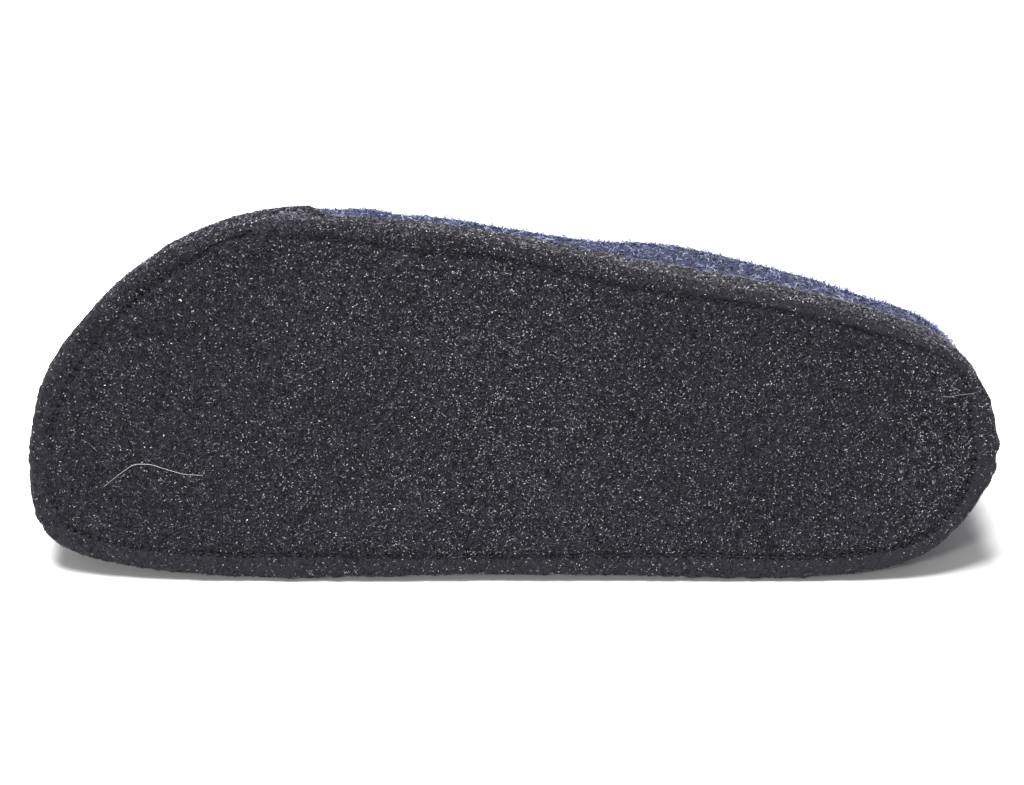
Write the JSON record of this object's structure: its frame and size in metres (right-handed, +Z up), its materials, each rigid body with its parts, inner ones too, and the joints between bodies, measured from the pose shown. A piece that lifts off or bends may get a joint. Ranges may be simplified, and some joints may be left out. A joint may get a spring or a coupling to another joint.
{
  "type": "felt slipper",
  "caption": "Low closed-heel felt slipper for the left foot, blue wool upper on a charcoal needle-felt sole with a stitched edge, lying on its side.",
  "frame": {"origin": "middle of the bounding box in X and Y, at the floor that the slipper lies on", "axes": "+X from toe to heel, -Y the way the sole faces, +Z up, from the medial side on the floor to the lateral side"},
  "size_m": [0.274, 0.0714, 0.1039],
  "materials": {
    "sole_felt": "rough needle felt with a thin grip coat",
    "rand_felt": "rough needle felt",
    "blue_wool": "fuzzy boiled wool",
    "footbed_felt": "smooth grey felt"
  },
  "bodies": {
    "root": {"outsole": "sole_felt", "rand": "rand_felt", "toe_guard": "rand_felt", "upper": "blue_wool", "insole": "footbed_felt"}
  },
  "joints": []
}
